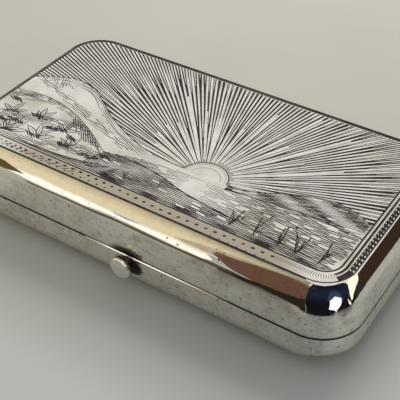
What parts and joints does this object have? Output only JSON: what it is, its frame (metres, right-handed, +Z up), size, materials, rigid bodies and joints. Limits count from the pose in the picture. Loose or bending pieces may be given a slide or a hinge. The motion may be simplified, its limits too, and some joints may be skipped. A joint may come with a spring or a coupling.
{
  "type": "snuff box",
  "caption": "Oblong silver snuff box with rounded corners, a deep hinged lid with a flat engraved top, a gilt inner collar and a push-button spring catch at the front.",
  "frame": {"origin": "middle of the flat bottom face", "axes": "+X along the box's length, -Y out of the front with the button, +Y out of the hinge side, +Z up"},
  "size_m": [0.0944, 0.0528, 0.0209],
  "materials": {
    "lid_silver": "polished sterling silver, engraved on top",
    "base_silver": "worn sterling silver with fine scratches",
    "fitting_silver": "satin sterling silver",
    "button_silver": "bright sterling silver",
    "silver_gilt": "worn gilding on silver",
    "spring_brass": "hard rolled brass",
    "pin_metal": "drawn wire"
  },
  "bodies": {
    "base": {"base_shell": "base_silver", "base_bezel": "silver_gilt", "base_hinge_gallery": "silver_gilt", "base_knuckle_left": "fitting_silver", "base_knuckle_centre": "fitting_silver", "base_knuckle_right": "fitting_silver", "hinge_pin": "pin_metal", "pin_plug_left": "fitting_silver", "pin_plug_right": "fitting_silver", "button_collar": "fitting_silver", "catch_spring": "spring_brass", "catch_spring_pad": "silver_gilt", "spring_rivets": "fitting_silver"},
    "lid": {"lid_shell": "lid_silver", "lid_hinge_gallery": "silver_gilt", "lid_knuckle_left": "fitting_silver", "lid_knuckle_right": "fitting_silver", "catch_keeper": "silver_gilt"},
    "button": {"push_button": "button_silver", "stem_washer": "spring_brass", "catch_hook": "silver_gilt"}
  },
  "joints": [
    {"name": "lid_hinge", "type": "hinge", "parent": "base", "child": "lid", "pos_m": [0, 0.0242, 0.00898], "axis": [-1, 0, 0], "range_deg": [0, 100]},
    {"name": "button_slide", "type": "slide", "parent": "base", "child": "button", "axis": [0, 1, 0], "range_m": [0, 0.0012], "stiffness_N_per_m": 1150, "springref_m": -0.0003, "deforming": ["catch_spring"]}
  ]
}
